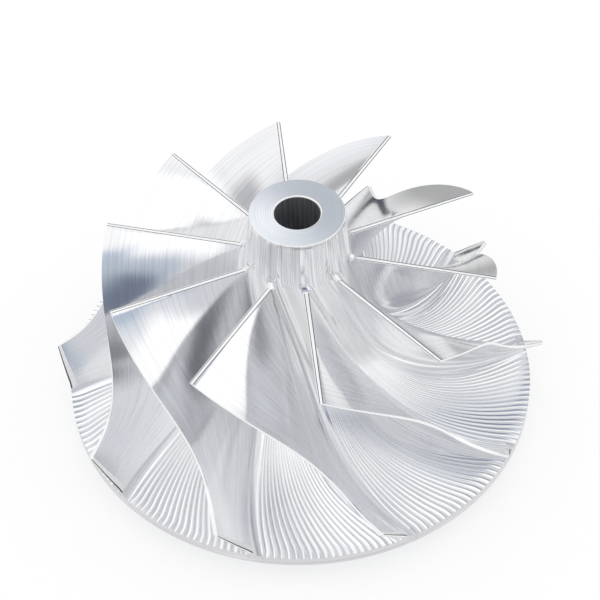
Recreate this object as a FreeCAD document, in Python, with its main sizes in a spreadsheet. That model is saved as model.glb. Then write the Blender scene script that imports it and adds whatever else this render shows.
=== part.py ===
import FreeCAD, Part
import math
import os

import Sketcher

# Compressor wheel, one solid: a turned blank with ten passages milled out of it.
# Millimetres and degrees. The bore runs along Z, the rear seat face lies at Z = 0
# and the nose points up. Angles grow counter-clockwise seen from the nose.

SIZES = (
    ("blade_count", 10, "full blades, evenly spaced"),
    ("blade_clocking", 23.27, "angle of the first leading-edge tip from +X"),
    ("bore_diameter", 6.7, "through bore"),
    ("bore_chamfer", 0.2, "both mouths of the bore"),
    ("nose_diameter", 13.8, "nut seat on the nose"),
    ("nose_height", 33.65, "nut seat above the rim's top edge"),
    ("edge_break", 0.1, "edges of the nose, the rear boss and the rim"),
    ("inducer_hub_diameter", 15.8, "hub at the leading edges"),
    ("inducer_diameter", 57.75, "leading-edge tips"),
    ("inducer_height", 25.9, "leading edges above the rim's top edge"),
    ("inducer_blend", 0.9, "bevel left between the nose and the leading edges"),
    ("disc_diameter", 71.8, "outside of the hub disc"),
    ("rim_thickness", 1.6, "hub disc at its rim"),
    ("tip_diameter", 75.0, "trailing-edge tips, past the disc"),
    ("tip_height", 5.53, "trailing-edge tips above the rim's top edge"),
    ("back_rise", 3.1, "rim's lower edge above the rear seat face"),
    ("back_land", 3.5, "width of the flat ring inside the rim's lower edge"),
    ("boss_diameter", 19.0, "rear seat face"),
    ("boss_height", 0.6, "straight side of the rear boss"),
    ("shroud_inlet_reach", 8.94, "pull of the shroud curve at the leading edge"),
    ("shroud_inlet_flare", 0.8, "its slope away from the axis there"),
    ("shroud_exit_reach", 9.51, "pull of the shroud curve at the trailing edge"),
    ("shroud_exit_fall", 10.7, "its slope down to the tip there"),
    ("hub_inlet_reach", 14.68, "pull of the hub curve at the leading edge"),
    ("hub_exit_reach", 24.9, "pull of the hub curve at the rim"),
    ("shroud_wrap", 47.55, "turn of a blade along the shroud"),
    ("shroud_inlet_angle", 63.8, "blade angle from the meridian"),
    ("shroud_exit_angle", 28.9, "backsweep at the tip"),
    ("hub_lead", 1.75, "hub end of a leading edge ahead of its tip"),
    ("hub_wrap", 53.66, "turn of a blade along the hub"),
    ("hub_inlet_angle", 20.9, "blade angle from the meridian"),
    ("hub_exit_angle", 24.7, "backsweep at the rim"),
    ("tip_inlet_thickness", 0.28, "blade along the shroud, at its leading edge"),
    ("tip_exit_thickness", 0.45, "blade along the shroud, at its trailing edge"),
    ("tip_swell", 0.1, "extra thickness halfway"),
    ("root_inlet_thickness", 0.45, "blade at the hub, at its leading edge"),
    ("root_exit_thickness", 0.6, "blade at the hub, at its trailing edge"),
    ("root_swell", 0.45, "extra thickness halfway"),
    ("root_fillet", 0.9, "reach of the fillet up the blade and over the floor"),
    ("floor_bite", 0.05, "depth that the milled floor cuts into the nose cone"),
    ("ridge_count", 18, "milled ridges on the floor of one passage"),
    ("ridge_height", 0.2, "ridges at the rim"),
    ("ridge_start", 24.0, "radius at which the ridges rise out of the floor"),
    ("cutter_clearance", 2.5, "how far the passage cutter stands past the blank"),
)

FLOOR_FACETS = 4        # plain strips across the floor inward of the ridges
FILLET_FACETS = 2       # plain strips across a root fillet
INNER_STATIONS = 9      # spans along a passage from the inducer to the ridges
OUTER_STATIONS = 4      # spans along a passage from the ridges to the rim
STEP = 1e-4             # step along a passage for slopes
LEAST_LEFT = 0.1        # shares of the blank that the passages may leave
MOST_LEFT = 0.9

doc = FreeCAD.newDocument("CompressorWheel")


def make_sheet():
    sheet = doc.addObject("Spreadsheet::Sheet", "Sizes")
    for line, (alias, value, meaning) in enumerate(SIZES, start=1):
        sheet.set("A%d" % line, alias)
        sheet.set("B%d" % line, str(value))
        sheet.set("C%d" % line, meaning)
        sheet.setAlias("B%d" % line, alias)
    doc.recompute()
    return sheet


sheet = make_sheet()


def size(alias):
    return float(getattr(sheet, alias))


# Places that the blank and the passages share

rim_top = size("back_rise") + size("rim_thickness")
inducer_plane = rim_top + size("inducer_height")
nose_face = rim_top + size("nose_height")
disc_radius = size("disc_diameter") / 2
tip_radius = size("tip_diameter") / 2
inducer_radius = size("inducer_diameter") / 2
inducer_hub_radius = size("inducer_hub_diameter") / 2
nose_radius = size("nose_diameter") / 2
pitch = 2 * math.pi / size("blade_count")
nose_flare = math.atan2(inducer_hub_radius - nose_radius, nose_face - inducer_plane)
bevel_radius = inducer_hub_radius - size("inducer_blend") * math.sin(nose_flare)
floor_radius = bevel_radius - size("floor_bite")


def curve_poles(start, start_slope, start_reach, end, end_slope, end_reach):
    """Poles of a meridional curve, as radius and height. It leaves start going down
    and away from the axis by start_slope, and reaches end falling by end_slope."""
    return (
        start,
        (start[0] + start_reach * math.sin(start_slope),
         start[1] - start_reach * math.cos(start_slope)),
        (end[0] - end_reach * math.cos(end_slope),
         end[1] + end_reach * math.sin(end_slope)),
        end,
    )


shroud_poles = curve_poles(
    (inducer_radius, inducer_plane),
    math.radians(size("shroud_inlet_flare")),
    size("shroud_inlet_reach"),
    (tip_radius, rim_top + size("tip_height")),
    math.radians(size("shroud_exit_fall")),
    size("shroud_exit_reach"),
)
hub_poles = curve_poles(
    (floor_radius, inducer_plane),
    nose_flare,
    size("hub_inlet_reach"),
    (disc_radius, rim_top),
    0.0,
    size("hub_exit_reach"),
)


# Turned blank

RIM_TOP = "(Sizes.back_rise + Sizes.rim_thickness)"
NOSE = RIM_TOP + " + Sizes.nose_height"
INDUCER = RIM_TOP + " + Sizes.inducer_height"
TIP = RIM_TOP + " + Sizes.tip_height"

# Corners of half the blank's section, each as a radius and a height.
CORNERS = {
    "seat_inner": ("Sizes.bore_diameter / 2", "0"),
    "bore_top": ("Sizes.bore_diameter / 2", NOSE),
    "nose_edge": ("Sizes.nose_diameter / 2", NOSE),
    "inducer_root": ("Sizes.inducer_hub_diameter / 2", INDUCER),
    "inducer_tip": ("Sizes.inducer_diameter / 2", INDUCER),
    "exit_tip": ("Sizes.tip_diameter / 2", TIP),
    "exit_root": ("Sizes.disc_diameter / 2", RIM_TOP + " + Sizes.root_fillet"),
    "rim_lower": ("Sizes.disc_diameter / 2", "Sizes.back_rise"),
    "land_inner": ("Sizes.disc_diameter / 2 - Sizes.back_land", "Sizes.back_rise"),
    "boss_root": ("Sizes.boss_diameter / 2", "Sizes.boss_height"),
    "seat_outer": ("Sizes.boss_diameter / 2", "0"),
}
SHROUD_PULLS = (
    ("Sizes.inducer_diameter / 2"
     " + Sizes.shroud_inlet_reach * sin(Sizes.shroud_inlet_flare * 1 deg)",
     INDUCER + " - Sizes.shroud_inlet_reach * cos(Sizes.shroud_inlet_flare * 1 deg)"),
    ("Sizes.tip_diameter / 2"
     " - Sizes.shroud_exit_reach * cos(Sizes.shroud_exit_fall * 1 deg)",
     TIP + " + Sizes.shroud_exit_reach * sin(Sizes.shroud_exit_fall * 1 deg)"),
)


def place(sketch, geometry, point, radius, height):
    """Tie a point of a sketch to its radius and height on the sheet."""
    for kind, expression in (("DistanceX", radius), ("DistanceY", height)):
        value = float(sketch.evalExpression(expression))
        if expression == "0":
            axis = {"DistanceX": -2, "DistanceY": -1}[kind]
            sketch.addConstraint(Sketcher.Constraint("PointOnObject", geometry, point, axis))
            continue
        index = sketch.addConstraint(
            Sketcher.Constraint(kind, -1, 1, geometry, point, value))
        sketch.setExpression("Constraints[%d]" % index, expression)


def make_blank():
    body = doc.addObject("PartDesign::Body", "Blank")
    body.Label = "turned_blank"
    plane = [p for p in body.Origin.OriginFeatures if p.Role == "XZ_Plane"][0]
    sketch = body.newObject("Sketcher::SketchObject", "Section")
    sketch.AttachmentSupport = (plane, "")
    sketch.MapMode = "FlatFace"
    doc.recompute()

    names = list(CORNERS)
    corners = {}
    for name, (radius, height) in CORNERS.items():
        corners[name] = FreeCAD.Vector(
            float(sketch.evalExpression(radius)), float(sketch.evalExpression(height)), 0)
    sides = list(zip(names, names[1:] + names[:1]))
    for start, end in sides:
        if (start, end) == ("inducer_tip", "exit_tip"):
            poles = [FreeCAD.Vector(r, z, 0) for r, z in shroud_poles]
            side = Part.BSplineCurve()
            side.buildFromPolesMultsKnots(poles, [4, 4], [0, 1], False, 3)
        else:
            side = Part.LineSegment(corners[start], corners[end])
        sketch.addGeometry(side, False)
    for index, (start, end) in enumerate(sides):
        follower = (index + 1) % len(sides)
        sketch.addConstraint(Sketcher.Constraint("Coincident", index, 2, follower, 1))
        place(sketch, index, 1, *CORNERS[start])
    shroud = sides.index(("inducer_tip", "exit_tip"))
    sketch.exposeInternalGeometry(shroud)
    pulls = [c.First for c in sketch.Constraints
             if c.Type == "InternalAlignment" and c.Second == shroud][1:3]
    for pull, (radius, height) in zip(pulls, SHROUD_PULLS):
        place(sketch, pull, 3, radius, height)

    turned = body.newObject("PartDesign::Revolution", "Turned")
    turned.Profile = sketch
    turned.ReferenceAxis = (sketch, ["V_Axis"])
    turned.Angle = 360
    doc.recompute()

    blend = body.newObject("PartDesign::Chamfer", "InducerBlend")
    blend.Base = (turned, [ring(turned.Shape, inducer_hub_radius, inducer_plane)])
    blend.setExpression("Size", "Sizes.inducer_blend")
    doc.recompute()

    mouths = body.newObject("PartDesign::Chamfer", "BoreMouths")
    bore_radius = size("bore_diameter") / 2
    mouths.Base = (blend, [ring(blend.Shape, bore_radius, 0),
                           ring(blend.Shape, bore_radius, nose_face)])
    mouths.setExpression("Size", "Sizes.bore_chamfer")
    doc.recompute()

    edges = body.newObject("PartDesign::Chamfer", "EdgeBreaks")
    edges.Base = (mouths, [ring(mouths.Shape, nose_radius, nose_face),
                           ring(mouths.Shape, size("boss_diameter") / 2, 0),
                           ring(mouths.Shape, disc_radius, size("back_rise"))])
    edges.setExpression("Size", "Sizes.edge_break")
    body.Tip = edges
    doc.recompute()
    return body


def ring(shape, radius, height):
    """Name of the round edge with this radius and height."""
    for number, edge in enumerate(shape.Edges, start=1):
        if not isinstance(edge.Curve, Part.Circle):
            continue
        off = abs(edge.Curve.Radius - radius) + abs(edge.Curve.Center.z - height)
        if off < 1e-4:
            return "Edge%d" % number
    raise ValueError("no round edge of radius %g at height %g" % (radius, height))


# Blade and floor lines. Each takes its place along a passage, 0 at the leading edge
# and 1 at the trailing edge.

def bezier(values, place_along):
    here = place_along
    rest = 1 - here
    weights = (rest ** 3, 3 * rest ** 2 * here, 3 * rest * here ** 2, here ** 3)
    return sum(weight * value for weight, value in zip(weights, values))


def wrap_poles(start, wrap, inlet_angle, inlet_reach, inlet_radius,
               exit_angle, exit_reach, exit_radius):
    """Angles about the axis that give the blade its angles at both ends."""
    first = start + math.tan(math.radians(inlet_angle)) * inlet_reach / inlet_radius
    last = start + math.radians(wrap)
    third = last - math.tan(math.radians(exit_angle)) * exit_reach / exit_radius
    return (start, first, third, last)


clocking = math.radians(size("blade_clocking"))
shroud_turn = wrap_poles(
    clocking, size("shroud_wrap"),
    size("shroud_inlet_angle"), size("shroud_inlet_reach"), inducer_radius,
    size("shroud_exit_angle"), size("shroud_exit_reach"), tip_radius)
hub_turn = wrap_poles(
    clocking + math.radians(size("hub_lead")), size("hub_wrap"),
    size("hub_inlet_angle"), size("hub_inlet_reach"), inducer_hub_radius,
    size("hub_exit_angle"), size("hub_exit_reach"), disc_radius)


def meridian(poles, along):
    radius = bezier([pole[0] for pole in poles], along)
    height = bezier([pole[1] for pole in poles], along)
    return radius, height


def polar(radius, angle, height):
    return FreeCAD.Vector(radius * math.cos(angle), radius * math.sin(angle), height)


def camber(poles, turn, along):
    radius, height = meridian(poles, along)
    return polar(radius, bezier(turn, along), height)


def half_turn(poles, turn, along, thickness):
    """Angle that a blade of this thickness takes up on each side of its camber."""
    here = camber(poles, turn, along)
    flow = camber(poles, turn, along + STEP) - camber(poles, turn, along - STEP)
    span = camber(shroud_poles, shroud_turn, along) - camber(hub_poles, hub_turn, along)
    normal = flow.cross(span).normalize()
    angle = bezier(turn, along)
    around = FreeCAD.Vector(-math.sin(angle), math.cos(angle), 0)
    radius = math.hypot(here.x, here.y)
    return thickness / 2 / abs(normal.dot(around)) / radius


def thickness(kind, along):
    inlet = size(kind + "_inlet_thickness")
    outlet = size(kind + "_exit_thickness")
    return inlet + (outlet - inlet) * along + size(kind + "_swell") * 4 * along * (1 - along)


def root_angle(side, along):
    """Angle of a blade's side at the floor: side 0 starts a passage, side 1 ends it."""
    half = half_turn(hub_poles, hub_turn, along, thickness("root", along))
    return bezier(hub_turn, along) + side * pitch + (half if side == 0 else -half)


def root(side, along):
    radius, height = meridian(hub_poles, along)
    return polar(radius, root_angle(side, along), height)


def tip(side, along):
    radius, height = meridian(shroud_poles, along)
    half = half_turn(shroud_poles, shroud_turn, along, thickness("tip", along))
    angle = bezier(shroud_turn, along) + side * pitch + (half if side == 0 else -half)
    return polar(radius, angle, height)


def fillet_top(side, along):
    start = root(side, along)
    return start + (tip(side, along) - start).normalize() * size("root_fillet")


def outside(side, along):
    """The blade's side carried on past its tip, for the cutter."""
    end = tip(side, along)
    return end + (end - root(side, along)).normalize() * size("cutter_clearance")


def roof(along):
    """Middle of the cutter's outer side, on the tangents of its two edges."""
    middle = (outside(0, along) + outside(1, along)) * 0.5
    stretch = 1 / math.cos(pitch / 2) ** 2
    return FreeCAD.Vector(middle.x * stretch, middle.y * stretch, middle.z)


def floor_angle(share, along):
    """Angle at a share of the way across the floor, between the two root fillets."""
    radius = meridian(hub_poles, along)[0]
    first = root_angle(0, along) + size("root_fillet") / radius
    last = root_angle(1, along) - size("root_fillet") / radius
    return first + share * (last - first)


def floor(share, lift, along):
    radius, height = meridian(hub_poles, along)
    ahead = meridian(hub_poles, along + STEP)
    slope = math.atan2(height - ahead[1], ahead[0] - radius)
    raised = (radius + lift * math.sin(slope), height + lift * math.cos(slope))
    return polar(raised[0], floor_angle(share, along), raised[1])


def bisect_ridge_start():
    low, high = 0.0, 1.0
    for _ in range(40):
        middle = (low + high) / 2
        if meridian(hub_poles, middle)[0] < size("ridge_start"):
            low = middle
        else:
            high = middle
    return low


ridge_start = bisect_ridge_start()
strips = 2 * int(size("ridge_count"))
facet_ends = [round(facet * strips / FLOOR_FACETS) for facet in range(FLOOR_FACETS + 1)]


def ridge_line(number, along):
    """Valleys are even and lie on the floor, crests are odd and rise to the rim.
    Where the ridges start, the lines lie on the chords of the plain floor."""
    if along <= ridge_start and number not in facet_ends:
        before = max(end for end in facet_ends if end < number)
        after = min(end for end in facet_ends if end > number)
        near = floor(before / strips, 0.0, along)
        far = floor(after / strips, 0.0, along)
        return near + (far - near) * ((number - before) / (after - before))
    radius = meridian(hub_poles, along)[0]
    rise = max(0.0, radius - size("ridge_start")) / (disc_radius - size("ridge_start"))
    return floor(number / strips, size("ridge_height") * rise * (number % 2), along)


def fillet(side, share, along):
    """Line across a root fillet, from the blade at share 0 to the floor at share 1."""
    rest = 1 - share
    return (fillet_top(side, along) * rest ** 2 + root(side, along) * (2 * rest * share)
            + ridge_line(side * strips, along) * share ** 2)


# Passage cutter, a closed shell over smooth lines that run along the passage

inner = [ridge_start * i / INNER_STATIONS for i in range(INNER_STATIONS + 1)]
outer = [ridge_start + (1 - ridge_start) * i / OUTER_STATIONS
         for i in range(OUTER_STATIONS + 1)]
before_inlet = -inner[1]
after_exit = 2 * outer[-1] - outer[-2]
top_plane = inducer_plane + size("inducer_blend") + size("cutter_clearance")
outer_plane = tip_radius + 2 * size("cutter_clearance")
exit_middle = (bezier(hub_turn, 1) + bezier(shroud_turn, 1)) / 2 + pitch / 2


def lead_in(line, upright):
    """Point of a line carried up to the flat top of the cutter."""
    start = line(0.0)
    ahead = line(STEP)
    radius = math.hypot(start.x, start.y)
    climb = (top_plane - start.z) / (start.z - ahead.z)
    if upright:
        turn = math.atan2(start.y, start.x) - math.atan2(ahead.y, ahead.x)
        return polar(radius, math.atan2(start.y, start.x) + turn * climb, top_plane)
    return start + (start - ahead) * climb


def run_out(line):
    """Point of a line carried out to the flat outer end of the cutter."""
    end = line(1.0)
    behind = line(1.0 - STEP)
    away = FreeCAD.Vector(math.cos(exit_middle), math.sin(exit_middle), 0)
    length = (outer_plane - end.dot(away)) / (end - behind).dot(away)
    return end + (end - behind) * length


def smooth(points, places):
    curve = Part.BSplineCurve()
    curve.interpolate(Points=points, Parameters=places)
    return curve


def whole_line(line, upright=False):
    points = [lead_in(line, upright)]
    points += [line(along) for along in inner + outer[1:]]
    points.append(run_out(line))
    return smooth(points, [before_inlet] + inner + outer[1:] + [after_exit])


def ruled(first, second):
    return Part.makeRuledSurface(first.toShape(), second.toShape())


def bowed(first, middle, last):
    """Face with an arched section over three lines that share their knots."""
    surface = Part.BSplineSurface()
    surface.buildFromPolesMultsKnots(
        [first.getPoles(), middle.getPoles(), last.getPoles()],
        [3, 3], first.getMultiplicities(),
        [0, 1], first.getKnots(),
        False, False, 2, first.Degree)
    return surface.toShape()


def part_line(curve, start, end):
    piece = curve.copy()
    piece.segment(start, end)
    return piece


def make_cutter():
    """Solid that fills one passage and stands past the blank on every open side."""
    faces = []
    outlines = []
    for side in (0, 1):
        outline = whole_line(lambda along: outside(side, along))
        outlines.append(outline)
        bands = [outline, whole_line(lambda along: fillet_top(side, along))]
        for facet in range(1, FILLET_FACETS + 1):
            share = facet / FILLET_FACETS
            bands.append(whole_line(lambda along: fillet(side, share, along), upright=True))
        faces += [ruled(near, far) for near, far in zip(bands, bands[1:])]
    faces.append(bowed(outlines[0], whole_line(roof), outlines[1]))

    lines = []
    for number in range(strips + 1):
        if number in facet_ends:
            lines.append(whole_line(lambda along: ridge_line(number, along), upright=True))
        else:
            points = [ridge_line(number, along) for along in outer]
            points.append(run_out(lambda along: ridge_line(number, along)))
            lines.append(smooth(points, outer + [after_exit]))
    facets = [lines[end] for end in facet_ends]
    for near, far in zip(facets, facets[1:]):
        faces.append(ruled(part_line(near, before_inlet, ridge_start),
                           part_line(far, before_inlet, ridge_start)))
    for near, far in zip(lines, lines[1:]):
        faces.append(ruled(part_line(near, ridge_start, after_exit),
                           part_line(far, ridge_start, after_exit)))

    skin = Part.makeCompound(faces)
    skin.sewShape()
    shell = Part.makeCompound(skin.Faces + flat_ends(skin))
    shell.sewShape()
    return Part.Solid(shell)


def flat_ends(skin):
    """Flat faces over the two open ends of a sewn skin."""
    uses = {}
    for face in skin.Faces:
        for edge in face.Edges:
            uses.setdefault(edge.hashCode(), []).append(edge)
    free = [edges[0] for edges in uses.values() if len(edges) == 1]
    return [Part.Face(Part.Wire(edges)) for edges in Part.sortEdges(free)]


def make_wheel():
    blank = make_blank()
    cutter = make_cutter()
    passages = doc.addObject("Part::Compound", "Passages")
    links = []
    for number in range(int(size("blade_count"))):
        passage = doc.addObject("Part::Feature", "Passage")
        passage.Label = "passage_%02d" % (number + 1)
        passage.Shape = cutter
        turn = FreeCAD.Rotation(FreeCAD.Vector(0, 0, 1), math.degrees(number * pitch))
        passage.Placement = FreeCAD.Placement(FreeCAD.Vector(), turn)
        links.append(passage)
    passages.Links = links
    wheel = doc.addObject("Part::Cut", "Wheel")
    wheel.Label = "compressor_wheel"
    wheel.Base = blank
    wheel.Tool = passages
    doc.recompute()
    return wheel


def check(wheel):
    for item in doc.Objects:
        if {"Invalid", "Error"} & set(item.State):
            raise RuntimeError("%s did not build: %s" % (item.Label, item.State))
    if wheel.Shape.isNull() or not wheel.Shape.isValid():
        raise RuntimeError("the wheel has no valid shape")
    if len(wheel.Shape.Solids) != 1:
        raise RuntimeError("the wheel is not one solid")
    left = wheel.Shape.Volume / wheel.Base.Shape.Volume
    if not LEAST_LEFT < left < MOST_LEFT:
        raise RuntimeError("the passages did not cut the blank")


wheel = make_wheel()
check(wheel)
os.makedirs("parts", exist_ok=True)
wheel.Shape.exportStep("parts/%s.step" % wheel.Label)
print("volume %.0f mm3" % wheel.Shape.Volume)
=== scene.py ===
import math

import bmesh
import bpy
import numpy as np
from mathutils import Matrix, Vector


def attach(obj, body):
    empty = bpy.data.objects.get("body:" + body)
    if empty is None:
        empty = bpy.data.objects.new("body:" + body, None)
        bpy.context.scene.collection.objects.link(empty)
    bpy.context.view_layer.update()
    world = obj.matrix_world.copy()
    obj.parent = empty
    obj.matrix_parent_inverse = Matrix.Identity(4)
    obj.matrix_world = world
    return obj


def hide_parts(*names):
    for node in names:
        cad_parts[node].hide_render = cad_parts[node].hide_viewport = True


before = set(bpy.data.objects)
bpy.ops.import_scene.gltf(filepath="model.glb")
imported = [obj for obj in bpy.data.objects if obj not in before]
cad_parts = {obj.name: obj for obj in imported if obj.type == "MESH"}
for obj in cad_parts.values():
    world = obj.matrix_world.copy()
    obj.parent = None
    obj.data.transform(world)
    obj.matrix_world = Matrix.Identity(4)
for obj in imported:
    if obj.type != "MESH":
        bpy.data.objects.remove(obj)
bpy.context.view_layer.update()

MM = 0.001

# Sizes of the wheel, as in the part's source, in millimetres and degrees

BLADES = 10
PITCH = 2 * math.pi / BLADES
CLOCKING = 23.27
BORE_RADIUS = 3.35
BORE_CHAMFER = 0.2
NOSE_RADIUS = 6.9
NOSE_FACE = 38.35
EDGE_BREAK = 0.1
HUB_RADIUS = 7.9
INDUCER_RADIUS = 28.875
INDUCER_PLANE = 30.6
INDUCER_BLEND = 0.9
FLOOR_BITE = 0.05
DISC_RADIUS = 35.9
RIM_TOP = 4.7
RIM_LOWER = 3.1
LAND_RADIUS = 32.4
BOSS_RADIUS = 9.5
BOSS_HEIGHT = 0.6
BACK_SLOPE = (RIM_LOWER - BOSS_HEIGHT) / (LAND_RADIUS - BOSS_RADIUS)
TIP_RADIUS = 37.5
TIP_HEIGHT = 10.23
ROOT_FILLET = 0.9
SHROUD_INLET_REACH = 8.94
SHROUD_INLET_FLARE = 0.8
SHROUD_EXIT_REACH = 9.51
SHROUD_EXIT_FALL = 10.7
SHROUD_WRAP = 47.55
SHROUD_INLET_ANGLE = 63.8
SHROUD_EXIT_ANGLE = 28.9
HUB_INLET_REACH = 14.68
HUB_EXIT_REACH = 24.9
HUB_LEAD = 1.75
HUB_WRAP = 53.66
HUB_INLET_ANGLE = 20.9
HUB_EXIT_ANGLE = 24.7
NOSE_FLARE = math.atan2(HUB_RADIUS - NOSE_RADIUS, NOSE_FACE - INDUCER_PLANE)
FLOOR_RADIUS = HUB_RADIUS - INDUCER_BLEND * math.sin(NOSE_FLARE) - FLOOR_BITE

# Thickness of a blade: at the leading edge, at the trailing edge, and more than these halfway

TIP_THICKNESS = (0.28, 0.45, 0.1)
ROOT_THICKNESS = (0.75, 0.6, 0.45)    # 0.3 more at the leading edge than in the source

# Ridges that the milling leaves on the floor

RIDGES = 18
RIDGE_SHARE = 0.22          # ridge height over ridge pitch at the rim
INNER_RIDGE_SHARE = 0.12    # the same on the inner floor
RIDGE_GROWTH = (18, 33)     # radii between which it changes from one to the other
ROOT_BAND = 0.5             # smooth band beside a blade's upper root
UNDER_BAND = 1.9            # smooth bands beside the next blade's root, together
UNDER_BANDS = 2
ROOT_BAND_MOST = 0.3        # most of the floor's width that the first band takes
UNDER_BAND_MOST = 0.2       # and the others
RIM_BAND_SHARE = 0.4        # how much of their width the bands keep at the rim
BANDS_NARROW = 24           # radius from which on they get narrower
HOOK_LENGTH = 2.0           # ridges turn to the radius over this last stretch
HOOK_START = DISC_RADIUS - HOOK_LENGTH
INLET_EASE = 0.02           # share of the passage over which a ridge leaves the inlet plane
EXIT_EASE = 0.01            # and the same at the rim

# Fine flutes round the side of the nose, with heights from the leading edges' plane up

NOSE_ROWS = (0.1, 0.22, 0.36, 0.54, 0.76, 1.0, 1.5, 2.6, 4.0, 5.6, 7.0)
NOSE_INSET = 0.03           # at its top, the side is this far inside the source's
FLUTES = 148
FLUTE_DEPTH = 0.07
FLUTE_WANDER = 0.9          # how far the flutes leave their even places
WANDER_WAVES = 5            # and how often round the nose
FLUTE_MEAN = 0.65           # their mean depth, as a share of the deepest
DEPTH_WAVES = 7             # how often round the nose their depth changes
DEPTH_SWAY = 3              # and how often that change hurries on and slows down
FLUTE_RISE = 1.5            # height at which the flutes have their full depth
RIDGE_TRACE = 0.02          # most that a floor ridge still stands out on the nose
ROOT_FADE = 1.0             # height over which the blades' roots end
ROOT_FADE_POWER = 2.2
SWIRL_SHARE = 0.8           # how much of the blades' slant the marks keep
SWIRL_HEIGHT = 0.8          # height over which they straighten

# Lines of painted shade and bevels of painted highlight on the blades' edges

LOWER_LINE = (0.09, 0.2)    # both sides of a fine line of painted shade, from the blade's lower side
UPPER_LINE = 0.12           # start of another, from its upper side
LOWER_LINE_MOST = (0.2, 0.45)    # the same at most, as shares of the edge's width
UPPER_LINE_MOST = 0.3
BEVEL = 0.009               # bright strip of painted highlight on a blade's lower side, as a share of its length
EXIT_BEVEL = 0.984          # where the strip of painted highlight on its upper side starts
EXIT_LINE = 0.9965          # and where that ends in a fine line of painted shade

# Rows that keep the turned faces' shading crisp, and a fine line round the rim

FACE_MIDDLE = 5.0
FACE_MARGIN = 0.1
BORE_ROWS = (30.0, 20.0, 10.0)
BOSS_MIDDLE = 6.0
BOSS_MARGIN = 0.15
BACK_MIDDLE = 20.0
LAND_MARGIN = 0.2
RIM_UPPER_ROW = 4.45
RIM_LINE = 3.78
RIM_LINE_HALF = 0.06
RIM_LINE_DEPTH = 0.05

# Samples of the mesh

BLADE_ROWS = 8
FILLET_ROWS = 5
ROOT_ROWS = 3
UNDER_ROWS = 8
RIDGE_ROWS = 6
TURNED_SIDES = 240
INLET_PLACES = (0.018, 0.035, 3)    # rows along a passage: first place, last place and count
MIDDLE_PLACES = (0.035, 0.95, 35)
EXIT_PLACES = (0.95, EXIT_BEVEL, 4)
SMALL_STEP = 1e-4           # along a passage, to measure slopes
SEARCH_START = 0.9          # the search for a passage's end starts here
HALVINGS = 30               # and halves its step this often
SMOOTH_BELOW = 38           # degrees between faces that are shaded as one

# Flow coordinates, in about millimetres, which the tool marks follow

PASSAGE_FLOW = 45           # from the leading edge to the trailing edge
PASSAGE_SHIFT = 60          # from blade to blade, so that no two have the same marks
EDGE_FLOW = 0.1             # from row to row across a blade's edge
EDGE_SHIFT = 90             # from blade to blade along their edges
HUB_SHIFT = 40              # and round the hub
RIM_FLOW = 0.4              # from row to row down the rim
TURNED_FLOW = 0.3           # from side to side round the turned faces


def curve_poles(start, start_slope, start_reach, end, end_slope, end_reach):
    """Poles of a meridian curve that falls from its start and runs outwards at its end."""
    return (
        start,
        (start[0] + start_reach * math.sin(start_slope),
         start[1] - start_reach * math.cos(start_slope)),
        (end[0] - end_reach * math.cos(end_slope),
         end[1] + end_reach * math.sin(end_slope)),
        end,
    )


def wrap_poles(start, wrap, inlet, inlet_reach, inlet_radius, outlet, exit_reach, exit_radius):
    """Poles of a blade's turn about the axis, from its angles at both ends."""
    first = math.radians(start)
    last = first + math.radians(wrap)
    return (
        first,
        first + math.tan(math.radians(inlet)) * inlet_reach / inlet_radius,
        last - math.tan(math.radians(outlet)) * exit_reach / exit_radius,
        last,
    )


SHROUD = curve_poles(
    (INDUCER_RADIUS, INDUCER_PLANE), math.radians(SHROUD_INLET_FLARE), SHROUD_INLET_REACH,
    (TIP_RADIUS, TIP_HEIGHT), math.radians(SHROUD_EXIT_FALL), SHROUD_EXIT_REACH)
HUB = curve_poles(
    (FLOOR_RADIUS, INDUCER_PLANE), NOSE_FLARE, HUB_INLET_REACH,
    (DISC_RADIUS, RIM_TOP), 0.0, HUB_EXIT_REACH)
SHROUD_TURN = wrap_poles(
    CLOCKING, SHROUD_WRAP, SHROUD_INLET_ANGLE, SHROUD_INLET_REACH, INDUCER_RADIUS,
    SHROUD_EXIT_ANGLE, SHROUD_EXIT_REACH, TIP_RADIUS)
HUB_TURN = wrap_poles(
    CLOCKING + HUB_LEAD, HUB_WRAP, HUB_INLET_ANGLE, HUB_INLET_REACH, HUB_RADIUS,
    HUB_EXIT_ANGLE, HUB_EXIT_REACH, DISC_RADIUS)


# Blade and floor surfaces

# Every function takes an array of places along the passage, 0 at the leading edge and 1 at the
# trailing edge. Side 0 is the upper side of the blade where the passage starts, and side 1 the
# lower side of the next blade.

def bezier(poles, along):
    """Values on a cubic curve between four poles."""
    rest = 1 - along
    return (rest ** 3 * poles[0] + 3 * rest ** 2 * along * poles[1]
            + 3 * rest * along ** 2 * poles[2] + along ** 3 * poles[3])


def meridian(poles, along):
    """Radius and height on a meridian curve."""
    radii, heights = zip(*poles)
    return bezier(radii, along), bezier(heights, along)


def polar(radius, angle, height):
    """Points from their distance to the axis, their angle about it and their height."""
    return np.stack([radius * np.cos(angle), radius * np.sin(angle), height], axis=-1)


def camber(poles, turn, along):
    """Middle of a blade at the shroud or at the hub."""
    radius, height = meridian(poles, along)
    return polar(radius, bezier(turn, along), height)


def unit(vectors):
    return vectors / np.linalg.norm(vectors, axis=-1, keepdims=True)


def half_turn(poles, turn, along, sizes):
    """Half the blade's thickness, as an angle about the axis."""
    inlet, outlet, swell = sizes
    thickness = inlet + (outlet - inlet) * along + swell * 4 * along * (1 - along)
    flow = camber(poles, turn, along + SMALL_STEP) - camber(poles, turn, along - SMALL_STEP)
    span = camber(SHROUD, SHROUD_TURN, along) - camber(HUB, HUB_TURN, along)
    normal = unit(np.cross(flow, span))
    angle = bezier(turn, along)
    facing = np.abs(normal[..., 1] * np.cos(angle) - normal[..., 0] * np.sin(angle))
    return thickness / 2 / facing / meridian(poles, along)[0]


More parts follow.
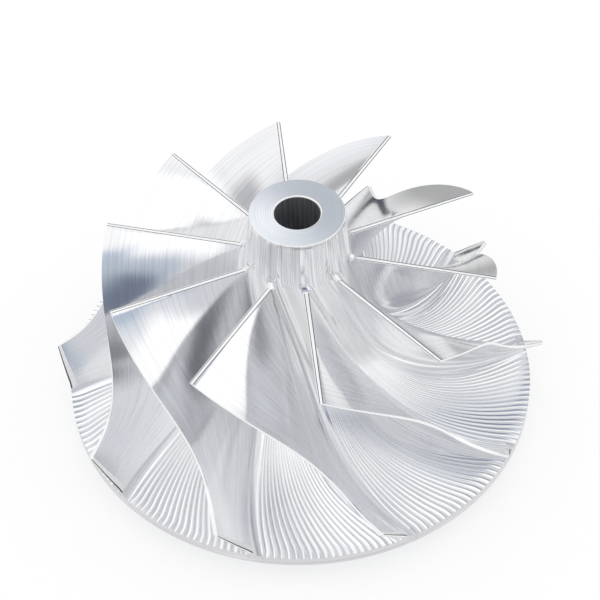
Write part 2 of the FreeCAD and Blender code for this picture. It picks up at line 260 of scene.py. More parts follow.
def side_angle(poles, turn, sizes, side, along):
    half = half_turn(poles, turn, along, sizes)
    return bezier(turn, along) + side * PITCH + (half if side == 0 else -half)


def root_angle(side, along):
    return side_angle(HUB, HUB_TURN, ROOT_THICKNESS, side, along)


def root(side, along):
    """Line where a blade's side would meet the hub without its fillet."""
    radius, height = meridian(HUB, along)
    return polar(radius, root_angle(side, along), height)


def tip(side, along):
    """Line where a blade's side ends at the shroud."""
    radius, height = meridian(SHROUD, along)
    return polar(radius, side_angle(SHROUD, SHROUD_TURN, TIP_THICKNESS, side, along), height)


def fillet_top(side, along):
    start = root(side, along)
    return start + unit(tip(side, along) - start) * ROOT_FILLET


def smooth_step(low, high, values):
    share = np.clip((values - low) / (high - low), 0, 1)
    return share * share * (3 - 2 * share)


def floor_edges(along):
    """Angles where the root fillets meet the floor, and the radius there."""
    radius = meridian(HUB, along)[0]
    first = root_angle(0, along) + ROOT_FILLET / radius
    last = root_angle(1, along) - ROOT_FILLET / radius
    return first, last, radius


def floor(zone, share, along):
    """Points of the floor: zone 0 is the band at the root where the passage starts,
    zone 1 holds the ridges and zone 2 is the band where it ends."""
    first, last, radius = floor_edges(along)
    width = (last - first) * radius
    slim = 1 - (1 - RIM_BAND_SHARE) * smooth_step(BANDS_NARROW, DISC_RADIUS, radius)
    near = np.minimum(ROOT_BAND, ROOT_BAND_MOST * width) * slim
    far = np.minimum(UNDER_BAND, UNDER_BAND_MOST * width) * slim
    middle = width - near - far
    rise = (INNER_RIDGE_SHARE + (RIDGE_SHARE - INNER_RIDGE_SHARE)
            * smooth_step(*RIDGE_GROWTH, radius)) * middle / RIDGES
    if zone == 0:
        across = near * share
        lift = rise * share ** 2
        hold = share ** 2
    elif zone == 1:
        across = near + middle * share
        lift = rise * (2 * np.mod(RIDGES * share, 1) - 1) ** 2
        hold = np.ones_like(share)
    else:
        across = near + middle + far * share
        cell = np.mod(UNDER_BANDS * share, 1)
        lift = rise * np.where(share > 1 - 1 / UNDER_BANDS, 1 - cell, 2 * cell - 1) ** 2
        lift = np.where(share == 1, 0, lift)
        hold = (1 - share) ** 2
    past = np.maximum(radius - HOOK_START, 0)
    hook = math.tan(math.radians(HUB_EXIT_ANGLE)) * past ** 2 / (2 * HOOK_LENGTH) * hold
    return lifted(along, radius, first + (across - hook) / radius, lift)


def lifted(along, radius, angle, lift):
    """Points raised square to the hub, but kept in the inlet plane and on the rim's cylinder
    at the passage's ends."""
    ahead = meridian(HUB, along + SMALL_STEP)
    height = meridian(HUB, along)[1]
    slope = np.arctan2(height - ahead[1], ahead[0] - radius)
    ease = smooth_step(0, INLET_EASE, along) * smooth_step(0, EXIT_EASE, 1 - along)
    radius_lift = lift * np.sin(slope) * np.where(along > 0.5, ease, 1)
    height_lift = lift * np.cos(slope) * np.where(along < 0.5, ease, 1)
    return polar(radius + radius_lift, angle, height + height_lift)


def fillet(side, share, along):
    """Points of a root fillet, share 0 at the blade and 1 at the floor."""
    edge = floor(2 * side, np.full_like(share, side), along)
    rest = 1 - share
    share = share[..., None]
    rest = rest[..., None]
    return (fillet_top(side, along) * rest ** 2 + root(side, along) * 2 * rest * share
            + edge * share ** 2)


def blade_side(side, share, along):
    """Points of a blade's side, share 0 at the shroud and 1 at the root fillet."""
    outer = tip(side, along)
    return outer + (fillet_top(side, along) - outer) * share[..., None]


def steps(count):
    return np.linspace(0.0, 1.0, count + 1)


# Columns across a passage, from tip to tip: a surface, its side or zone, and places on it

COLUMNS = [
    (blade_side, 0, steps(BLADE_ROWS)),
    (fillet, 0, steps(FILLET_ROWS)[1:]),
    (floor, 0, steps(ROOT_ROWS)[1:]),
    (floor, 1, steps(RIDGES * RIDGE_ROWS)[1:]),
    (floor, 2, steps(UNDER_ROWS)[1:]),
    (fillet, 1, steps(FILLET_ROWS)[-2::-1]),
    (blade_side, 1, steps(BLADE_ROWS)[-2::-1]),
]
COLUMN_COUNT = sum(len(shares) for _, _, shares in COLUMNS)
FEET = (BLADE_ROWS, COLUMN_COUNT - 1 - BLADE_ROWS)    # columns where the two fillets start


def section(along):
    """Points of a passage, along[i, j] for row i and column j."""
    points = []
    column = 0
    for surface, number, shares in COLUMNS:
        part = along[:, column:column + len(shares)]
        points.append(surface(number, np.broadcast_to(shares, part.shape), part))
        column += len(shares)
    return np.concatenate(points, axis=1)


def exit_radius(height):
    """Trailing edges run straight from the disc's edge to the tips."""
    foot = RIM_TOP + ROOT_FILLET
    share = np.clip((height - foot) / (TIP_HEIGHT - foot), 0, 1)
    return DISC_RADIUS + share * (TIP_RADIUS - DISC_RADIUS)


def passage_ends():
    """Place along each column where the trailing edge cuts it off."""
    low = np.full((1, COLUMN_COUNT), SEARCH_START)
    high = np.ones((1, COLUMN_COUNT))
    for _ in range(HALVINGS):
        middle = (low + high) / 2
        points = section(middle)
        past = np.hypot(points[..., 0], points[..., 1]) > exit_radius(points[..., 2])
        high = np.where(past, middle, high)
        low = np.where(past, low, middle)
    column = np.arange(COLUMN_COUNT)
    on_floor = (column >= FEET[0] + FILLET_ROWS) & (column <= FEET[1] - FILLET_ROWS)
    ends = np.where(on_floor, 1.0, high)
    ends[:, 0] = ends[:, -1] = 1.0
    return ends


def passage_grid():
    """Points of the first passage, with the places of its rows."""
    length = np.concatenate([
        [0, BEVEL], np.linspace(*INLET_PLACES)[:-1], np.linspace(*MIDDLE_PLACES)[:-1],
        np.linspace(*EXIT_PLACES), [EXIT_LINE, 1]])
    return section(length[:, None] * passage_ends()), length


class Skin:
    """Points and faces of a closed mesh, with a material and flow coordinates per face."""

    def __init__(self):
        self.points = []
        self.count = 0
        self.faces = []
        self.materials = []
        self.uvs = []

    def add(self, points):
        """Take in an array of points, and give their numbers in the same shape."""
        flat = points.reshape(-1, 3)
        self.points.append(flat)
        numbers = np.arange(self.count, self.count + len(flat)).reshape(points.shape[:-1])
        self.count += len(flat)
        return numbers

    def where(self, numbers):
        """The points with these numbers."""
        return np.concatenate(self.points)[numbers]

    def patch(self, numbers, uvs, material, closed=False):
        """Quads over a grid of points, which may close on itself."""
        if closed:
            numbers = np.concatenate([numbers, numbers[:, :1]], axis=1)
            last = uvs[:, -1:] + (uvs[:, -1:] - uvs[:, -2:-1])
            uvs = np.concatenate([uvs, last], axis=1)
        corners = [numbers[:-1, :-1], numbers[1:, :-1], numbers[1:, 1:], numbers[:-1, 1:]]
        spots = [uvs[:-1, :-1], uvs[1:, :-1], uvs[1:, 1:], uvs[:-1, 1:]]
        quads = np.stack(corners, axis=-1).reshape(-1, 4)
        self.faces += quads.tolist()
        self.uvs += np.stack(spots, axis=-2).reshape(-1, 4, 2).tolist()
        self.materials += [material] * len(quads)

    def stitch(self, first, second, material):
        """Triangles between two closed rings with different numbers of points."""
        rings = []
        next_turns = []
        for ring in (first, second):
            spots = self.where(ring)
            turn = np.arctan2(spots[:, 1], spots[:, 0])
            start = int(np.argmin(turn))
            turn = np.roll(turn, -start)
            order = np.roll(ring, -start).tolist()
            rings.append(order + order[:1])
            next_turns.append([*turn[1:], turn[0] + 2 * math.pi, math.inf])
        places = [0, 0]
        while places[0] < len(first) or places[1] < len(second):
            ahead = [turns[place] for turns, place in zip(next_turns, places)]
            here = [ring[place] for ring, place in zip(rings, places)]
            nearer = 0 if ahead[0] <= ahead[1] else 1
            places[nearer] += 1
            self.faces.append([here[0], rings[nearer][places[nearer]], here[1]])
            self.uvs.append([[0, 0]] * 3)
            self.materials.append(material)

    def build(self, name, materials):
        mesh = bpy.data.meshes.new(name)
        points = np.concatenate(self.points) * MM
        mesh.from_pydata(points.tolist(), [], self.faces)
        for material in materials:
            mesh.materials.append(material)
        mesh.polygons.foreach_set("material_index", self.materials)
        layer = mesh.uv_layers.new(name="flow")
        flat = np.array([spot for face in self.uvs for spot in face], dtype=np.float32)
        layer.data.foreach_set("uv", flat.ravel())
        work = bmesh.new()
        work.from_mesh(mesh)
        bmesh.ops.recalc_face_normals(work, faces=work.faces)
        work.to_mesh(mesh)
        work.free()
        mesh.shade_smooth()
        mesh.set_sharp_from_angle(angle=math.radians(SMOOTH_BELOW))
        piece = bpy.data.objects.new(name, mesh)
        bpy.context.scene.collection.objects.link(piece)
        return piece


# The wheel's mesh, whose faces name their material by these numbers

# The pale material on edges and bevels is painted highlight, and the dark material of the fine
# lines is painted shade.
MILLED, BLADE, PAINTED_HIGHLIGHT, PAINTED_SHADE, NOSE, TURNED, RIM, BORE = range(8)


def flow_grid(rows, columns):
    """Flow coordinates of a grid of points: along its rows and across its columns."""
    return np.stack(np.broadcast_arrays(rows[:, None], columns[None, :]), axis=-1)


def spin(points, turn):
    """Points turned about the axis."""
    cosine = math.cos(turn)
    sine = math.sin(turn)
    turned = points.copy()
    turned[..., 0] = points[..., 0] * cosine - points[..., 1] * sine
    turned[..., 1] = points[..., 0] * sine + points[..., 1] * cosine
    return turned


def lay_passages(skin, grid, length, across):
    """The passages between the blades. A blade's upper side has a strip of painted highlight and
    a fine line of painted shade at its trailing edge, and its lower side a strip of painted
    highlight at the leading edge."""
    first, last = FEET
    passages = [skin.add(spin(grid, number * PITCH)) for number in range(BLADES)]
    for number, passage in enumerate(passages):
        flow = flow_grid(length * PASSAGE_FLOW + number * PASSAGE_SHIFT, across)
        for rows, columns, material in (
                (slice(None, -2), slice(None, first + 1), BLADE),
                (slice(-3, -1), slice(None, first + 1), PAINTED_HIGHLIGHT),
                (slice(-2, None), slice(None, first + 1), PAINTED_SHADE),
                (slice(None), slice(first, last + 1), MILLED),
                (slice(None, 2), slice(last, None), PAINTED_HIGHLIGHT),
                (slice(1, None), slice(last, None), BLADE)):
            skin.patch(passage[rows, columns], flow[rows, columns], material)
    return passages


def lay_edge(skin, passage, following, number):
    """A blade's edge between two passages: up the leading edge, along the shroud and down the
    trailing edge, with painted highlight and, on the first and the last, two fine lines of
    painted shade. Gives the inner points of its start and of its end, which stand on the hub."""
    first, last = FEET
    rows = len(passage)
    ending = np.concatenate([passage[0, last:], passage[1:, -1], passage[-1, -2:last - 1:-1]])
    starting = np.concatenate([
        following[0, first::-1], following[1:, 0], following[-1, 1:first + 1]])
    lower = skin.where(ending)
    upper = skin.where(starting)
    wide = np.linalg.norm(upper - lower, axis=1, keepdims=True)
    shares = [np.minimum(place / wide, most) for place, most in zip(LOWER_LINE, LOWER_LINE_MOST)]
    shares.append(1 - np.minimum(UPPER_LINE / wide, UPPER_LINE_MOST))
    inner = [skin.add(lower + (upper - lower) * share) for share in shares]
    band = np.stack([ending, *inner, starting], axis=1)
    flow = flow_grid(np.arange(len(band)) * 1.0 + number * EDGE_SHIFT,
                     np.arange(band.shape[1]) * EDGE_FLOW)
    corners = [0, BLADE_ROWS, BLADE_ROWS + rows - 1, len(band) - 1]
    # Painted highlight across the band, with fine lines of painted shade on the leading and
    # trailing edges.
    for part in range(3):
        strip = slice(corners[part], corners[part + 1] + 1)
        at_shroud = part == 1
        for column in range(4):
            outermost = column in (0, 3)
            if at_shroud:
                material = BLADE if outermost else PAINTED_HIGHLIGHT
            else:
                material = PAINTED_SHADE if column in (1, 3) else PAINTED_HIGHLIGHT
            pair = slice(column, column + 2)
            skin.patch(band[strip, pair], flow[strip, pair], material)
    return [numbers[0] for numbers in inner], [numbers[-1] for numbers in inner]


def hub_ring(passages, roots, row):
    """Points round the hub at a passage's row, over its floor and across the blades."""
    parts = []
    for passage, blade in zip(passages, roots):
        parts += [passage[row, FEET[0]:FEET[1] + 1], blade]
    return np.concatenate(parts)


def hub_flow(across):
    """Flow coordinates round a ring of the hub."""
    first, last = FEET
    line_places = across[last] + EDGE_FLOW * np.arange(1, 4)
    one = np.append(across[first:last + 1], line_places)
    return np.concatenate([one + number * HUB_SHIFT for number in range(BLADES)])


def nose_rows(ring):
    """Rows of points from the leading edges up the nose, over a ring of points."""
    turn = np.arctan2(ring[:, 1], ring[:, 0])
    reach = np.hypot(ring[:, 0], ring[:, 1])
    top = NOSE_FACE - EDGE_BREAK - INDUCER_PLANE
    heights = np.array([*NOSE_ROWS, top])
    swirl = math.tan(math.radians(HUB_INLET_ANGLE)) / FLOOR_RADIUS * SWIRL_SHARE
    trace = np.clip(reach - FLOOR_RADIUS, 0, RIDGE_TRACE)
    cut = 1 - np.abs(np.sin(FLUTES * turn / 2 + FLUTE_WANDER * np.sin(WANDER_WAVES * turn)))
    wave = np.sin(DEPTH_WAVES * turn + 2 * np.sin(DEPTH_SWAY * turn))
    cut *= FLUTE_DEPTH * (FLUTE_MEAN + (1 - FLUTE_MEAN) * wave)
    rows = []
    for height in heights:
        cone = FLOOR_RADIUS - height * math.tan(NOSE_FLARE)
        cone += (HUB_RADIUS - FLOOR_RADIUS - NOSE_INSET) * height / top
        fade = max(0.0, 1 - height / ROOT_FADE) ** ROOT_FADE_POWER
        bump = (reach - FLOOR_RADIUS - trace) * fade
        angle = turn - swirl * (1 - math.exp(-height / SWIRL_HEIGHT))
        radius = cone + trace + bump - cut * min(1.0, height / FLUTE_RISE)
        rows.append(polar(radius, angle, np.full_like(reach, INDUCER_PLANE + height)))
    return np.array(rows), heights


def lay_nose(skin, ring, flow):
    """The nose's side. Gives its upper ring of points."""
    points, heights = nose_rows(skin.where(ring))
    numbers = np.concatenate([ring[None, :], skin.add(points)])
    skin.patch(numbers, flow_grid(-np.append([0], heights), flow), NOSE, closed=True)
    return numbers[-1]


def lay_rim(skin, ring, flow):
    """The disc's rim, with a fine line. Gives its lower ring of points."""
    points = skin.where(ring)
    turn = np.arctan2(points[:, 1], points[:, 0])
    rows = []
    for radius, height in (
            (DISC_RADIUS, RIM_UPPER_ROW),
            (DISC_RADIUS, RIM_LINE + RIM_LINE_HALF),
            (DISC_RADIUS - RIM_LINE_DEPTH, RIM_LINE),
            (DISC_RADIUS, RIM_LINE - RIM_LINE_HALF),
            (DISC_RADIUS, RIM_LOWER + EDGE_BREAK)):
        rows.append(polar(np.full_like(turn, radius), turn, np.full_like(turn, height)))
    numbers = np.concatenate([ring[None, :], skin.add(np.array(rows))])
    skin.patch(numbers, flow_grid(np.arange(len(numbers)) * RIM_FLOW, flow), RIM, closed=True)
    return numbers[-1]


def turned_outline():
    """Radius and height of the turned faces, from the nose face through the bore to the back,
    and the material from each row to the next."""
    def back(radius):
        return BOSS_HEIGHT + (radius - BOSS_RADIUS) * BACK_SLOPE

    face_edge = NOSE_RADIUS - EDGE_BREAK
    bore_edge = BORE_RADIUS + BORE_CHAMFER
    rim_edge = DISC_RADIUS - EDGE_BREAK
    return [
        (face_edge, NOSE_FACE, TURNED),
        (face_edge - FACE_MARGIN, NOSE_FACE, TURNED),
        (FACE_MIDDLE, NOSE_FACE, TURNED),
        (bore_edge + FACE_MARGIN, NOSE_FACE, TURNED),
        # The bore's chamfers carry the painted highlight.
        (bore_edge, NOSE_FACE, PAINTED_HIGHLIGHT),
        (BORE_RADIUS, NOSE_FACE - BORE_CHAMFER, BORE),
        *((BORE_RADIUS, height, BORE) for height in BORE_ROWS),
        (BORE_RADIUS, BORE_CHAMFER, PAINTED_HIGHLIGHT),
        (bore_edge, 0.0, TURNED),
        (BOSS_MIDDLE, 0.0, TURNED),
        (BOSS_RADIUS - EDGE_BREAK, 0.0, TURNED),
        (BOSS_RADIUS, EDGE_BREAK, TURNED),
        (BOSS_RADIUS, BOSS_HEIGHT, TURNED),
        (BOSS_RADIUS + BOSS_MARGIN, back(BOSS_RADIUS + BOSS_MARGIN), TURNED),
        (BACK_MIDDLE, back(BACK_MIDDLE), TURNED),
        (LAND_RADIUS - LAND_MARGIN, back(LAND_RADIUS - LAND_MARGIN), TURNED),
        (LAND_RADIUS, RIM_LOWER, TURNED),
        (LAND_RADIUS + LAND_MARGIN, RIM_LOWER, TURNED),
        (rim_edge - LAND_MARGIN, RIM_LOWER, TURNED),
        (rim_edge, RIM_LOWER, TURNED),
    ]


def turned_ring(radius, height):
    angles = np.arange(TURNED_SIDES) * 2 * math.pi / TURNED_SIDES
    return polar(np.full(TURNED_SIDES, radius), angles, np.full(TURNED_SIDES, height))


def lay_turned(skin):
    """The turned faces. Gives their first and their last ring of points."""
    outline = turned_outline()
    rings = skin.add(np.array([turned_ring(radius, height) for radius, height, _ in outline]))
    round_axis = np.arange(TURNED_SIDES) * TURNED_FLOW
    for line in range(len(outline) - 1):
        flow = flow_grid(np.array([line, line + 1.0]), round_axis)[..., ::-1]
        skin.patch(rings[line:line + 2], flow, outline[line][2], closed=True)
    return rings[0], rings[-1]


def build_wheel(materials):
    skin = Skin()
    grid, length = passage_grid()
    across = np.linalg.norm(np.diff(grid[len(grid) // 2], axis=0), axis=-1)
    across = np.append([0], np.cumsum(across))
    passages = lay_passages(skin, grid, length, across)
    edges = [lay_edge(skin, passage, passages[(number + 1) % BLADES], number)
             for number, passage in enumerate(passages)]
    leading_roots, trailing_roots = zip(*edges)
    flow = hub_flow(across)
    nose_top = lay_nose(skin, hub_ring(passages, leading_roots, 0), flow)
    rim_bottom = lay_rim(skin, hub_ring(passages, trailing_roots, -1), flow)
    face_edge, back_edge = lay_turned(skin)
    # The edges from the nose to the nose face and from the rim to the back carry painted
    # highlight.
    skin.stitch(nose_top, face_edge, PAINTED_HIGHLIGHT)
    skin.stitch(rim_bottom, back_edge, PAINTED_HIGHLIGHT)
    return skin.build("wheel", materials)


# Shader nodes

def feed(tree, value, socket):
    """Link an output to a socket, or set the socket to a plain value."""
    if isinstance(value, bpy.types.NodeSocket):
        tree.links.new(value, socket)
    else:
        socket.default_value = value


def maths(tree, operation, *values):
    """The result of an operation on outputs or plain values."""
    node = tree.nodes.new("ShaderNodeMath")
    node.operation = operation
    for value, socket in zip(values, node.inputs):
        feed(tree, value, socket)
    return node.outputs["Value"]


def vector_maths(tree, operation, *vectors):
    """The node of a vector operation, whose result may be a vector or a value."""
    node = tree.nodes.new("ShaderNodeVectorMath")
    node.operation = operation
    for vector, socket in zip(vectors, node.inputs):
        feed(tree, vector, socket)
    return node


def split(tree, vector):
    """The three parts of a vector, by the names X, Y and Z."""
    node = tree.nodes.new("ShaderNodeSeparateXYZ")
    feed(tree, vector, node.inputs["Vector"])
    return node.outputs


def ramp(tree, source, near, far, first, last, shape="LINEAR"):
    """A value that goes from first to last while its source goes from near to far."""
    node = tree.nodes.new("ShaderNodeMapRange")
    node.interpolation_type = shape
    for socket, value in (("Value", source), ("From Min", near), ("From Max", far),
                          ("To Min", first), ("To Max", last)):
        feed(tree, value, node.inputs[socket])
    return node.outputs["Result"]


def mix(tree, under, over, share):
    """A value between two values."""
    node = tree.nodes.new("ShaderNodeMix")
    for socket, value in (("A", under), ("B", over), ("Factor", share)):
        feed(tree, value, node.inputs[socket])
    return node.outputs["Result"]


def blend(tree, under, over, share):
    """A colour between two colours, each an output or red, green and blue."""
    node = tree.nodes.new("ShaderNodeMix")
    node.data_type = "RGBA"
    for socket, colour in (("A", under), ("B", over)):
        linked = isinstance(colour, bpy.types.NodeSocket)
        feed(tree, colour if linked else (*colour, 1), node.inputs[socket])
    feed(tree, share, node.inputs["Factor"])
    return node.outputs["Result"]


def bump(tree, shader, height, distance):
    """Relief on a shader, from a height and what 1 of it is in metres."""
    node = tree.nodes.new("ShaderNodeBump")
    node.inputs["Strength"].default_value = 1.0
    node.inputs["Distance"].default_value = distance
    feed(tree, height, node.inputs["Height"])
    feed(tree, node.outputs["Normal"], shader.inputs["Normal"])


# Materials, with their colours as red, green and blue

MACHINED = (0.9, 0.905, 0.915)
MACHINED_MARKS = (0.82, 0.825, 0.84)
DARK_BELOW = 0.36           # noise under this gives the darkest marks
PLAIN_ABOVE = 0.56          # and noise over this gives none


def metal(name, colour, roughness, anisotropic=0.0, metallic=1.0):
    """A metal, which if anisotropic stretches its reflections along the flow coordinates."""
    material = bpy.data.materials.new(name)
    material.use_nodes = True
    tree = material.node_tree
    shader = tree.nodes["Principled BSDF"]
    for socket, value in (("Base Color", (*colour, 1)), ("Metallic", metallic),
                          ("Roughness", roughness), ("Anisotropic", anisotropic)):
        shader.inputs[socket].default_value = value
    if anisotropic:
        node = tree.nodes.new("ShaderNodeTangent")
        node.direction_type = "UV_MAP"
        node.uv_map = "flow"
        feed(tree, node.outputs["Tangent"], shader.inputs["Tangent"])
    return material, tree, shader


def streaks(tree, shader, scale, depth, darkest):
    """Tool marks along the flow coordinates, with their scale per millimetre along and
    across, their depth in millimetres, and the colour of the darkest."""
    flow = tree.nodes.new("ShaderNodeUVMap")
    flow.uv_map = "flow"
    mapping = tree.nodes.new("ShaderNodeMapping")
    mapping.inputs["Scale"].default_value = (*scale, 1)
    feed(tree, flow.outputs["UV"], mapping.inputs["Vector"])
    noise = tree.nodes.new("ShaderNodeTexNoise")
    noise.inputs["Scale"].default_value = 1.0
    noise.inputs["Detail"].default_value = 3.0
    feed(tree, mapping.outputs["Vector"], noise.inputs["Vector"])
    bump(tree, shader, noise.outputs["Fac"], depth * MM)
    plain = shader.inputs["Base Color"].default_value[:3]
    share = ramp(tree, noise.outputs["Fac"], DARK_BELOW, PLAIN_ABOVE, 0.0, 1.0)
    feed(tree, blend(tree, darkest, plain, share), shader.inputs["Base Color"])


def rings(tree, shader, per_mm, depth, lean):
    """Turning rings round the axis, whose flanks lean outwards."""
    coordinates = tree.nodes.new("ShaderNodeTexCoord")
    flat = vector_maths(tree, "MULTIPLY", coordinates.outputs["Object"], (1 / MM, 1 / MM, 0.0))
    radius = vector_maths(tree, "LENGTH", flat.outputs["Vector"]).outputs["Value"]
    noise = tree.nodes.new("ShaderNodeTexNoise")
    noise.noise_dimensions = "1D"
    noise.inputs["Scale"].default_value = per_mm
    noise.inputs["Detail"].default_value = 2.0
    feed(tree, radius, noise.inputs["W"])
    fall = maths(tree, "MULTIPLY", radius, -lean)
    height = maths(tree, "MULTIPLY_ADD", noise.outputs["Fac"], depth, fall)
    bump(tree, shader, height, MM)


def milled_floor():
    material, tree, shader = metal("milled_floor", MACHINED, roughness=0.18, anisotropic=0.3)
    streaks(tree, shader, scale=(0.06, 5.0), depth=0.008, darkest=MACHINED_MARKS)
    return material


def milled_blade():
    material, tree, shader = metal("milled_blade", MACHINED, roughness=0.13, anisotropic=0.4)
    streaks(tree, shader, scale=(0.05, 3.0), depth=0.006, darkest=MACHINED_MARKS)
    return material


def cut_edge_painted_highlight():
    """Painted highlight: pale, mostly matt bevels and narrow strips, which shine almost evenly.
    """
    return metal("cut_edge_painted_highlight", (0.98, 0.98, 0.98), roughness=0.5, metallic=0.2)[0]


def edge_line_painted_shade():
    """Painted shade in the fine lines along the edges."""
    return metal("edge_line_painted_shade", (0.12, 0.13, 0.15), roughness=0.4)[0]


def nose_side():
    material, tree, shader = metal("nose_side", (0.92, 0.925, 0.935), roughness=0.12)
    streaks(tree, shader, scale=(0.03, 2.6), depth=0.01, darkest=(0.62, 0.63, 0.66))
    return material


def turned_face():
    material, tree, shader = metal("turned_face", (0.76, 0.79, 0.83), roughness=0.26)
    rings(tree, shader, per_mm=6.0, depth=0.02, lean=0.11)
    return material


def turned_rim():
    material, tree, shader = metal("turned_rim", (0.79, 0.78, 0.8), roughness=0.25)
    streaks(tree, shader, scale=(4.0, 0.05), depth=0.01, darkest=(0.7, 0.69, 0.71))
    return material


def honed_bore():
    material, tree, shader = metal("honed_bore", (0.68, 0.69, 0.71), roughness=0.45)
    streaks(tree, shader, scale=(0.6, 0.4), depth=0.02, darkest=(0.42, 0.42, 0.44))
    return material


wheel = build_wheel([milled_floor(), milled_blade(), cut_edge_painted_highlight(), edge_line_painted_shade(), nose_side(),
                     turned_face(), turned_rim(), honed_bore()])
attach(wheel, "root")
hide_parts("compressor_wheel")


# Ground, with its places in metres

GROUND_SIZE = 3.0
GROUND_DROP = 0.00002       # under the wheel, so that the two don't share a plane
GROUND_GREY = (0.4, 0.4, 0.4)
# Colour of the painted dark reflections on the ground
PAINTED_REFLECTION_DARK = (0.05, 0.06, 0.08)
GROUND_GLOW = 0.62          # to the camera and to all reflections but the first
STRIPE_ACROSS = (0.52, 0.85, 0)    # direction across a painted dark reflection, a stripe behind the wheel
STRIPE_PLACE = 0.0485
STRIPE_HALF = 0.002

# Changes over the ground that paint its reflections: from one place to another, from one level
# to another

NEAR_GLOW = (0.045, 0.09, 0.52, 0.05)       # painted reflection: glow to first reflections, outwards from the axis
SIDE_GLOW = (0.04, 0.12, 0.05, 0.46)        # and again brighter towards both sides
FRONT_PAINTED_DARK = (-0.026, -0.038, 0.0, 0.85)    # painted dark reflection, a zone in front of the wheel
FRONT_SIDES = (0.014, 0.04, 1.0, 0.25)      # which fades towards both sides


def make_ground():
    bpy.ops.mesh.primitive_plane_add(size=GROUND_SIZE, location=(0, 0, -GROUND_DROP))
    ground = bpy.context.object
    ground.name = "ground"
    material = bpy.data.materials.new("pale_ground")
    material.use_nodes = True
    shader = material.node_tree.nodes["Principled BSDF"]
    shader.inputs["Roughness"].default_value = 0.9
    shader.inputs["Specular IOR Level"].default_value = 0.0
    shader.inputs["Emission Color"].default_value = (1, 1, 1, 1)
    glow(material.node_tree, shader)
    ground.data.materials.append(material)


def glow(tree, shader):
    """The ground glows, so the camera sees only part of the shadow. First reflections see a
    painted
    reflection on it: its glow darkens behind and in front of the wheel, with a painted dark
    stripe behind. Third and deeper ones see a painted dark zone in front."""
    depth = tree.nodes.new("ShaderNodeLightPath").outputs["Glossy Depth"]
    first = maths(tree, "COMPARE", depth, 1.0, 0.5)
    third = maths(tree, "GREATER_THAN", depth, 2.5)
    place = tree.nodes.new("ShaderNodeTexCoord").outputs["Object"]
    sides = split(tree, place)
    aside = maths(tree, "ABSOLUTE", sides["X"])

    radius = vector_maths(tree, "LENGTH", place).outputs["Value"]
    level = maths(tree, "MAXIMUM", ramp(tree, radius, *NEAR_GLOW), ramp(tree, aside, *SIDE_GLOW))

    # Painted dark reflections: a stripe behind the wheel for first reflections, and a zone in
    # front for third and deeper ones
    across = vector_maths(tree, "DOT_PRODUCT", place, STRIPE_ACROSS).outputs["Value"]
    on_stripe = maths(tree, "COMPARE", across, STRIPE_PLACE, STRIPE_HALF)
    stripe = maths(tree, "MULTIPLY", on_stripe, first)
    in_front = maths(tree, "MULTIPLY", ramp(tree, sides["Y"], *FRONT_PAINTED_DARK),
                     ramp(tree, aside, *FRONT_SIDES))
    front = maths(tree, "MULTIPLY", in_front, third)
    dark = maths(tree, "MAXIMUM", stripe, front)

    colour = blend(tree, GROUND_GREY, PAINTED_REFLECTION_DARK, dark)
    strength = mix(tree, mix(tree, GROUND_GLOW, level, first), 0.0, dark)
    feed(tree, colour, shader.inputs["Base Color"])
    feed(tree, strength, shader.inputs["Emission Strength"])


# The studio that the polish mirrors

# It has one even light and soft panels, each laid over the ones before it. A panel has its
# light, then in degrees its azimuth and half its width, its elevation and half its height, and
# half the width of its soft edge. Azimuth 0 is +Y, behind the wheel, and 90 is +X, on the right.

def grey(level):
    return (level, level, level)


EVEN_LIGHT = (0.79, 0.81, 0.85)
PANELS = [
    ((1.02, 1.02, 1.03), (-48, 34, 42, 40, 12)),    # wide and pale, behind on the left
    ((1.3, 1.3, 1.31), (-25, 18, 52, 16, 6)),       # bright, high behind on the left
    ((0.5, 0.51, 0.54), (15, 24, 8, 22, 10)),       # dark, low behind
    ((0.58, 0.6, 0.64), (38, 38, 44, 24, 10)),      # dim, behind on the right
    (grey(0.95), (48, 12, 10, 9, 5)),               # pale, low behind on the right
    (grey(1.04), (0, 190, 80, 18, 6)),              # ceiling
    (grey(1.25), (5, 30, 76, 9, 6)),                # bright, on the ceiling behind
    ((0.52, 0.52, 0.54), (-76, 12, 4, 13, 6)),      # dark, low on the left
    ((0.69, 0.7, 0.74), (157, 40, 5, 33, 8)),       # dim, low on the camera's side
    (grey(1.19), (-123, 41, 40, 28, 5)),            # bright, in front on the left
    ((0.5, 0.5, 0.52), (-128, 16, 16, 10, 5)),      # dark, low in front on the left
    (grey(1.15), (-103, 8, 6, 12, 4)),              # bright strip, low on the left
    (grey(1.18), (92, 35, 28, 28, 5)),              # bright, on the right
    ((0.46, 0.54, 0.66), (160, 48, 70, 8, 6)),      # bluish strip above the camera
]
FIRST_PANELS = [
    ((0.51, 0.57, 0.65), (169, 27, 54, 21, 7)),     # dim, round the camera
    ((0.17, 0.2, 0.27), (163, 18, 51, 11, 6)),      # dark, beside the camera
]
DEEPER_VEIL = (grey(0.95), 0.5)                     # light laid over all, and its share
DEEPER_PANELS = [
    ((0.45, 0.46, 0.5), (50, 34, 16, 30, 12)),      # dark, behind on the right
    ((0.74, 0.75, 0.77), (172, 46, 18, 24, 12)),    # dim, on the camera's side
    (grey(1.25), (-100, 48, 38, 27, 10)),           # bright, on the left
]
THIRD_VEIL = (grey(1), 0.08)
DEEPEST_VEIL = (grey(1.3), 0.8)


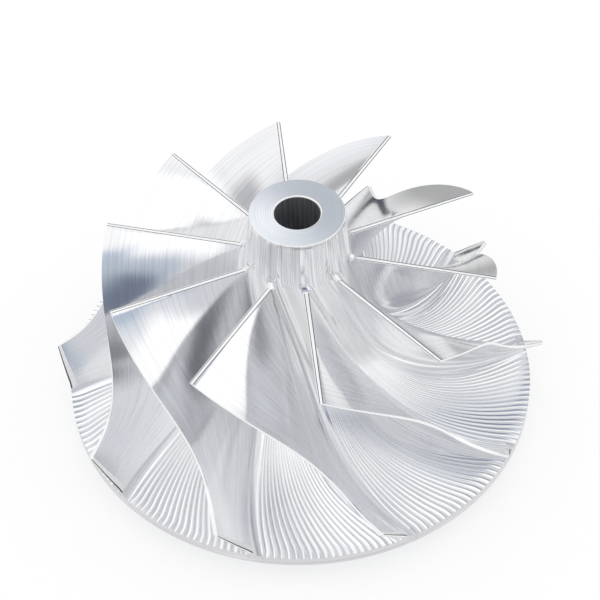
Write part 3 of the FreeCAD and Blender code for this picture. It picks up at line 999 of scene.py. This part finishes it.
class Sky:
    """Light from all directions, laid on in patches."""

    def __init__(self, tree, light):
        self.tree = tree
        self.light = light
        self.direction = tree.nodes.new("ShaderNodeTexCoord").outputs["Generated"]
        self.elevation = maths(tree, "ARCSINE", split(tree, self.direction)["Z"])

    def within(self, angle, half, soft):
        """1 where an angle is nearer to zero than half, with a soft edge, in degrees."""
        size = maths(self.tree, "ABSOLUTE", angle)
        near = math.radians(half - soft)
        far = math.radians(half + soft)
        return ramp(self.tree, size, near, far, 1.0, 0.0, "SMOOTHSTEP")

    def patch(self, azimuth, half_azimuth, elevation, half_elevation, soft):
        """1 in the directions of a panel, and 0 elsewhere."""
        turn = self.tree.nodes.new("ShaderNodeVectorRotate")
        turn.rotation_type = "Z_AXIS"
        turn.inputs["Angle"].default_value = math.radians(azimuth)
        feed(self.tree, self.direction, turn.inputs["Vector"])
        sides = split(self.tree, turn.outputs["Vector"])
        aside = maths(self.tree, "ARCTAN2", sides["X"], sides["Y"])
        above = maths(self.tree, "SUBTRACT", self.elevation, math.radians(elevation))
        return maths(self.tree, "MULTIPLY", self.within(aside, half_azimuth, soft),
                     self.within(above, half_elevation, soft))

    def lay(self, colour, mask):
        self.light = blend(self.tree, self.light, colour, mask)

    def lay_panels(self, panels, rays=None):
        """Panels for all rays, or only for those where rays is 1."""
        for colour, place in panels:
            mask = self.patch(*place)
            if rays is not None:
                mask = maths(self.tree, "MULTIPLY", rays, mask)
            self.lay(colour, mask)

    def lay_veil(self, veil, rays):
        colour, share = veil
        self.lay(colour, maths(self.tree, "MULTIPLY", rays, share))


def make_world():
    """First and deeper reflections see the studio a little differently. The camera and the
    light that falls on matt faces see it white."""
    world = bpy.data.worlds.new("studio")
    world.use_nodes = True
    bpy.context.scene.world = world
    tree = world.node_tree
    rays = tree.nodes.new("ShaderNodeLightPath").outputs
    depth = rays["Glossy Depth"]
    deeper = maths(tree, "GREATER_THAN", depth, 1.5)
    sky = Sky(tree, EVEN_LIGHT)
    sky.lay_panels(PANELS)
    sky.lay_panels(FIRST_PANELS, maths(tree, "LESS_THAN", depth, 1.5))
    sky.lay_veil(DEEPER_VEIL, deeper)
    sky.lay_panels(DEEPER_PANELS, deeper)
    sky.lay_veil(THIRD_VEIL, maths(tree, "GREATER_THAN", depth, 2.5))
    sky.lay_veil(DEEPEST_VEIL, maths(tree, "GREATER_THAN", depth, 4.5))
    sky.lay(grey(1), maths(tree, "MAXIMUM", rays["Is Camera Ray"], rays["Is Diffuse Ray"]))
    background = tree.nodes["Background"]
    feed(tree, sky.light, background.inputs["Color"])
    background.inputs["Strength"].default_value = 1.0


# Camera, with places in metres, a lens in millimetres and a roll in degrees

SENSOR_WIDTH = 36.0
LENS = 94.16
CLIP_START = 0.01
CLIP_END = 20.0
CAMERA_PLACE = Vector((0.0, -0.1610, 0.1923))
CAMERA_AIM = Vector((0.000144, 0.0, 0.02012))
CAMERA_ROLL = -1.15


def make_camera():
    data = bpy.data.cameras.new("camera")
    data.sensor_width = SENSOR_WIDTH
    data.lens = LENS
    data.clip_start = CLIP_START
    data.clip_end = CLIP_END
    camera = bpy.data.objects.new("camera", data)
    bpy.context.scene.collection.objects.link(camera)
    forward = (CAMERA_AIM - CAMERA_PLACE).normalized()
    right = forward.cross(Vector((0, 0, 1))).normalized()
    up = right.cross(forward)
    roll = math.radians(CAMERA_ROLL)
    right, up = (right * math.cos(roll) + up * math.sin(roll),
                 up * math.cos(roll) - right * math.sin(roll))
    turn = Matrix((right, up, -forward)).transposed().to_4x4()
    camera.matrix_world = Matrix.Translation(CAMERA_PLACE) @ turn
    bpy.context.scene.camera = camera


GLOSSY_BOUNCES = 12    # light goes deep between the polished blades

make_ground()
make_world()
make_camera()
bpy.context.scene.view_settings.view_transform = "Standard"
bpy.context.scene.cycles.glossy_bounces = GLOSSY_BOUNCES
